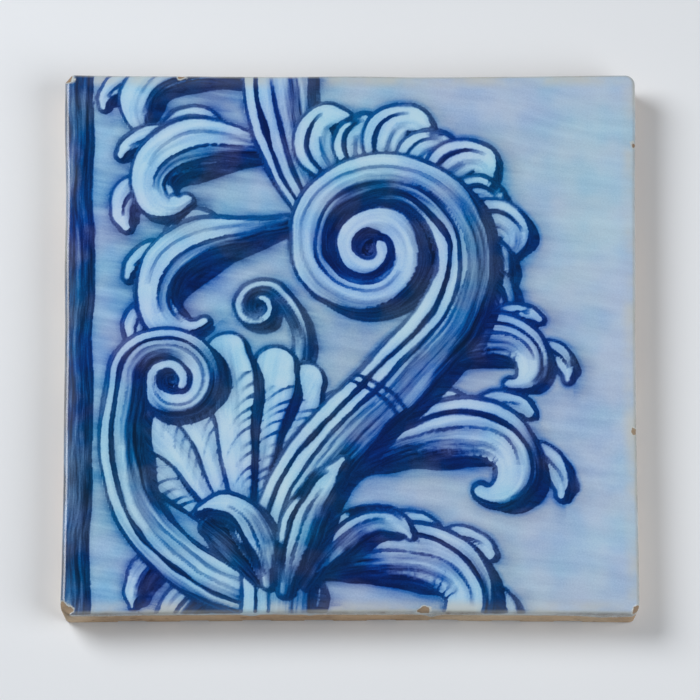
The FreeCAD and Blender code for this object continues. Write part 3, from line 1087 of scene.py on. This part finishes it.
def firedClayGroup():
    # cloudy body with grains of sand, and pits that lie lower and are painted darker as their shade; Grit is
    # how much the sand shows
    inputs = (("Vector", "NodeSocketVector", None), ("Grit", "NodeSocketFloat", 1.0))
    outputs = (("Color", "NodeSocketColor"), ("Roughness", "NodeSocketFloat"), ("Height", "NodeSocketFloat"))
    tree, given, result = newGroup("firedClay", inputs, outputs)
    vector = given.outputs["Vector"]
    cloud = noise(tree, vector, 38.0, 4.0)
    sand = noise(tree, vector, clay["grains"], 2.0, 0.7)
    uneven = ranged(tree, noise(tree, vector, 150.0, 2.0), 0.35, 0.65, -0.1, 0.22)
    pits = maths(tree, "ADD", scattered(tree, vector, clay["pits"]), uneven)
    pit = ranged(tree, pits, 0.08, 0.24, 1.0, 0.0)
    speck = times(tree, ranged(tree, sand, 0.52, 0.74), given.outputs["Grit"])
    colour = mixed(tree, times(tree, speck, 0.35), rampOf(tree, cloud, clay["body"]), srgb(*clay["sand"]))
    # painted shade in the pits, which also lie lower in the bump
    colour = mixed(tree, times(tree, pit, 0.4), colour, srgb(*clay["pit"]))
    height = maths(tree, "SUBTRACT", times(tree, sand, given.outputs["Grit"]), pit)
    tree.links.new(colour, result.inputs["Color"])
    tree.links.new(ranged(tree, cloud, 0.2, 0.8, 0.78, 0.95), result.inputs["Roughness"])
    tree.links.new(height, result.inputs["Height"])
    return tree


def grimeGroup():
    # dirt of the joints: broad patches broken up by fine grain
    inputs = (("Vector", "NodeSocketVector", None), ("Amount", "NodeSocketFloat", 0.5))
    tree, given, result = newGroup("jointGrime", inputs, (("Mask", "NodeSocketFloat"),))
    broad = ranged(tree, noise(tree, given.outputs["Vector"], 70.0, 4.0), 0.38, 0.68)
    fine = ranged(tree, noise(tree, given.outputs["Vector"], 620.0, 3.0, 0.7), 0.3, 0.7, 0.45, 1.0)
    mask = times(tree, times(tree, broad, fine), given.outputs["Amount"])
    tree.links.new(mask, result.inputs["Mask"])
    return tree


firedClay = firedClayGroup()
jointGrime = grimeGroup()

glaze = {
    "ramp": (               # density of the cobalt and its colour
        (0.00, (180, 211, 235)), (0.08, (169, 204, 233)), (0.16, (154, 192, 228)), (0.30, (132, 170, 211)),
        (0.50, (91, 132, 188)), (0.70, (45, 88, 155)), (0.85, (12, 55, 118)), (1.00, (0, 35, 86)),
        (1.15, (0, 25, 64)),
    ),
    "lineSoft": 0.21,       # how far a line's edge fades
    "bleed": 0.10,          # the colour spreads a little into the glaze beside a line
    "bleedReach": 1.5,
    "bristles": (0.07, 0.95, 1.0),  # brush marks are long along the brush's way
    "hue": (0.480, 0.511),  # the cobalt fired greener to more violet
    "saturation": (0.86, 1.17),
    "milky": (0.76, 0.96),  # saturation and value where the glaze is milkiest
    "gloss": (0.10, 0.18),  # roughness
    "ior": 1.5,
    "bump": (0.35, 0.2 * mm),
    "pinholes": 62.0,       # per metre
    "pinhole": (70, 66, 70),
    "rubbed": (194, 195, 188),  # paint rubbed thin, glaze thin over the arris and its lip round bare clay
    "thin": (196, 200, 190),
    "lip": (196, 202, 200),
    "dirt": (104, 86, 70),  # of the joints; below, the darker, greyer colour of bare clay in the chips
    "chipGrimeAndDark": (114, 100, 86),
}


def paintedGlaze():
    # cobalt brush work under a clear glaze, worn at the rim, with bare clay in chips and below the glaze
    material, tree, shader = newMaterial("paintedGlaze")
    place = addNode(tree, "ShaderNodeTexCoord").outputs["Object"]
    dragged = stretched(tree, attribute(tree, "brushWay", "Vector"), glaze["bristles"])
    bristle = noise(tree, dragged, 1.0, 4.0, 0.6)
    grain = noise(tree, place, 2600.0, 2.0, 0.7)
    waver = noise(tree, place, 900.0, 2.0)

    # brush work: washes with bristle marks, lines over them with a little bleed
    soft = glaze["lineSoft"]
    edge = maths(tree, "ADD", attribute(tree, "inkEdge"), ranged(tree, waver, 0.25, 0.75, -0.07, 0.07))
    crisp = ranged(tree, noise(tree, place, 150.0, 2.0), 0.32, 0.68, 0.55, 1.5)
    line = ranged(tree, times(tree, edge, crisp), -soft, soft)
    bleed = ranged(tree, edge, -glaze["bleedReach"], 0.1, 0.0, glaze["bleed"])
    wash = attribute(tree, "wash")
    milk = times(tree, attribute(tree, "milk"), ranged(tree, edge, -1.2, 0.0, 1.0, 0.0))
    milk = times(tree, milk, ranged(tree, wash, 0.3, 0.5, 1.0, 0.0))
    drag = maths(tree, "MULTIPLY_ADD", wash, 0.24, 0.03)       # bristles show more in stronger paint
    drag = times(tree, drag, ranged(tree, milk, 0.0, 0.5, 1.0, 0.6))
    wash = maths(tree, "MULTIPLY_ADD", ranged(tree, bristle, 0.25, 0.75, -1.0, 1.0), drag, wash)
    wash = maths(tree, "ADD", wash, bleed)
    tone = maths(tree, "ADD", attribute(tree, "inkTone"), ranged(tree, bristle, 0.2, 0.8, -0.16, 0.14))
    density = maths(tree, "ADD", between(tree, line, wash, tone), ranged(tree, grain, 0.2, 0.8, -0.05, 0.05))
    strongest = glaze["ramp"][-1][0]
    density = maths(tree, "DIVIDE", density, strongest)
    colour = rampOf(tree, density, [(at / strongest, rgb) for at, rgb in glaze["ramp"]])

    # its hue and strength differ from place to place, and it is milky where it is thin on the ground
    cloud = noise(tree, place, 48.0, 2.0)
    strong = ranged(tree, noise(tree, place, 85.0, 2.0), 0.3, 0.7, *glaze["saturation"])
    milkySaturation, milkyValue = glaze["milky"]
    fired = {"Hue": ranged(tree, cloud, 0.3, 0.7, *glaze["hue"]), "Color": colour,
             "Saturation": times(tree, strong, ranged(tree, milk, 0.0, 1.0, 1.0, milkySaturation)),
             "Value": ranged(tree, milk, 0.0, 1.0, 1.0, milkyValue)}
    colour = addNode(tree, "ShaderNodeHueSaturation", fired).outputs["Color"]

    # pinholes in the glaze, here and there
    hole = ranged(tree, scattered(tree, place, glaze["pinholes"]), 0.010, 0.022, 1.0, 0.0)
    hole = times(tree, hole, ranged(tree, noise(tree, place, 33.0, 1.0), 0.5, 0.56))
    colour = mixed(tree, times(tree, hole, 0.75), colour, srgb(*glaze["pinhole"]))

    # paint rubbed thin along the edges, thin glaze over the arris, then joint dirt on it
    rim = attribute(tree, "rimDepth")
    rubbed = ranged(tree, noise(tree, place, 75.0, 3.0), 0.35, 0.65, 0.15, 0.7)
    rubbed = times(tree, rubbed, ranged(tree, rim, -1.2, 0.0))
    rubbed = times(tree, rubbed, ranged(tree, density, 0.28, 0.62, 1.0, 0.12))
    colour = mixed(tree, rubbed, colour, srgb(*glaze["rubbed"]))
    thin = times(tree, ranged(tree, rim, 0.05, 0.5), ranged(tree, cloud, 0.35, 0.65, 0.2, 0.6))
    colour = mixed(tree, thin, colour, srgb(*glaze["thin"]))
    worn = useGroup(tree, jointGrime, {"Vector": place, "Amount": 0.9}).outputs["Mask"]
    onRim = times(tree, ranged(tree, rim, 0.2, 0.9), worn)
    colour = mixed(tree, onRim, colour, srgb(*glaze["dirt"]))

    # bare clay in the chips and below the glaze on the walls
    bareAt = maths(tree, "ADD", attribute(tree, "bareEdge"), ranged(tree, waver, 0.2, 0.8, -0.25, 0.25))
    bare = ranged(tree, bareAt, -0.08, 0.08)
    lip = maths(tree, "SUBTRACT", ranged(tree, bareAt, -0.7, -0.1), bare)
    colour = mixed(tree, lip, colour, srgb(*glaze["lip"]))
    body = useGroup(tree, firedClay, {"Vector": place, "Grit": 0.8})
    # bare clay turns darker and greyer with the joint grime, and in the chips and just under the glaze, less
    # and less down the wall
    grimeAndDarker = maths(tree, "MAXIMUM", times(tree, worn, 0.7), ranged(tree, rim, 0.9, 1.7, 0.65, 0.0))
    colour = mixed(tree, bare, colour, mixed(tree, grimeAndDarker, body.outputs["Color"], srgb(*glaze["chipGrimeAndDark"])))

    # glossy and faintly dimpled, duller where it is dirty; the clay is rough and lies lower
    gloss = ranged(tree, noise(tree, place, 55.0, 3.0), 0.3, 0.7, *glaze["gloss"])
    gloss = maths(tree, "ADD", gloss, times(tree, onRim, 0.35))
    rough = between(tree, bare, gloss, body.outputs["Roughness"])
    dimples = times(tree, noise(tree, place, 260.0, 2.0), 0.25)
    height = between(tree, bare, dimples, maths(tree, "SUBTRACT", body.outputs["Height"], 1.5))
    dress(tree, shader, colour, rough, height, glaze["bump"])
    shader.inputs["IOR"].default_value = glaze["ior"]
    return material


def bareBiscuit():
    # the clay of the back, with drag marks of the press along the keys
    material, tree, shader = newMaterial("bareBiscuit")
    place = addNode(tree, "ShaderNodeTexCoord").outputs["Object"]
    body = useGroup(tree, firedClay, {"Vector": place, "Grit": 1.0})
    drawn = noise(tree, stretched(tree, place, (1.0, 0.03, 1.0)), 640.0, 3.0, 0.6)
    marks = ranged(tree, drawn, 0.52, 0.78, 0.0, 0.3)
    colour = mixed(tree, marks, body.outputs["Color"], srgb(*clay["drag"]))
    dirt = useGroup(tree, jointGrime, {"Vector": place, "Amount": 0.45}).outputs["Mask"]
    colour = mixed(tree, dirt, colour, srgb(*clay["dirt"]))
    height = maths(tree, "MULTIPLY_ADD", drawn, 0.8, body.outputs["Height"])
    dress(tree, shader, colour, body.outputs["Roughness"], height, clay["bump"])
    return material


tilePiece.materials.append(paintedGlaze())
tilePiece.materials.append(bareBiscuit())
tileObject = bpy.data.objects.new("azulejoTile", tilePiece)
bpy.context.scene.collection.objects.link(tileObject)
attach(tileObject, "root")
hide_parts("azulejo_tile")
print("materials on the tile")


# Stage, light and camera, in metres
studio = {
    "floor": (228, 232, 237),
    "floorRough": 0.8,
    "floorSize": 6.0,
    "world": 0.08,
    "aim": (0.0, 0.0, 0.004),
    "elevation": 70.0,
    "lens": 600.0,
    "frameWidth": 0.170,    # width of the view at the tile
}
lamps = (   # place, size and power
    {"name": "keyLamp", "at": (-0.55, 0.28, 0.62), "size": 0.55, "power": 6.2},
    {"name": "fillLamp", "at": (0.60, -0.25, 0.55), "size": 0.7, "power": 4.15},
)


def aimed(thing, target):
    # turns a lamp or a camera, which look down their own -Z, to a target
    way = np.array(target) - np.array(thing.location)
    flat = math.hypot(way[0], way[1])
    thing.rotation_euler = (math.atan2(flat, -way[2]), 0.0, math.atan2(way[1], way[0]) - math.pi / 2)


def layFloor():
    # one pale square under the tile
    half = studio["floorSize"] / 2
    corners = [(-half, -half, 0.0), (half, -half, 0.0), (half, half, 0.0), (-half, half, 0.0)]
    mesh = bpy.data.meshes.new("floor")
    mesh.from_pydata(corners, [], [(0, 1, 2, 3)])
    material, tree, shader = newMaterial("paleFloor")
    shader.inputs["Base Color"].default_value = srgb(*studio["floor"])
    shader.inputs["Roughness"].default_value = studio["floorRough"]
    mesh.materials.append(material)
    floor = bpy.data.objects.new("floor", mesh)
    bpy.context.scene.collection.objects.link(floor)


def hangLamps():
    # two soft discs of light, and a faint even room
    for lamp in lamps:
        light = bpy.data.lights.new(lamp["name"], "AREA")
        light.shape = "DISK"
        light.size = lamp["size"]
        light.energy = lamp["power"]
        thing = bpy.data.objects.new(lamp["name"], light)
        thing.location = lamp["at"]
        aimed(thing, studio["aim"])
        thing.visible_camera = False
        bpy.context.scene.collection.objects.link(thing)
    world = bpy.data.worlds.new("softRoom")
    world.use_nodes = True
    room = world.node_tree.nodes["Background"]
    room.inputs["Color"].default_value = (1.0, 1.0, 1.0, 1.0)
    room.inputs["Strength"].default_value = studio["world"]
    bpy.context.scene.world = world


def setCamera():
    # a long lens, as far off as the width of the view asks for
    camera = bpy.data.cameras.new("camera")
    camera.lens = studio["lens"]
    distance = studio["frameWidth"] / 2 / math.tan(camera.angle / 2)
    way = math.radians(studio["elevation"])
    thing = bpy.data.objects.new("camera", camera)
    aimX, aimY, aimZ = studio["aim"]
    thing.location = (aimX, aimY - distance * math.cos(way), aimZ + distance * math.sin(way))
    aimed(thing, studio["aim"])
    bpy.context.scene.collection.objects.link(thing)
    bpy.context.scene.camera = thing


layFloor()
hangLamps()
setCamera()
bpy.context.scene.view_settings.view_transform = "Standard"
print("stage, lamps and camera set")
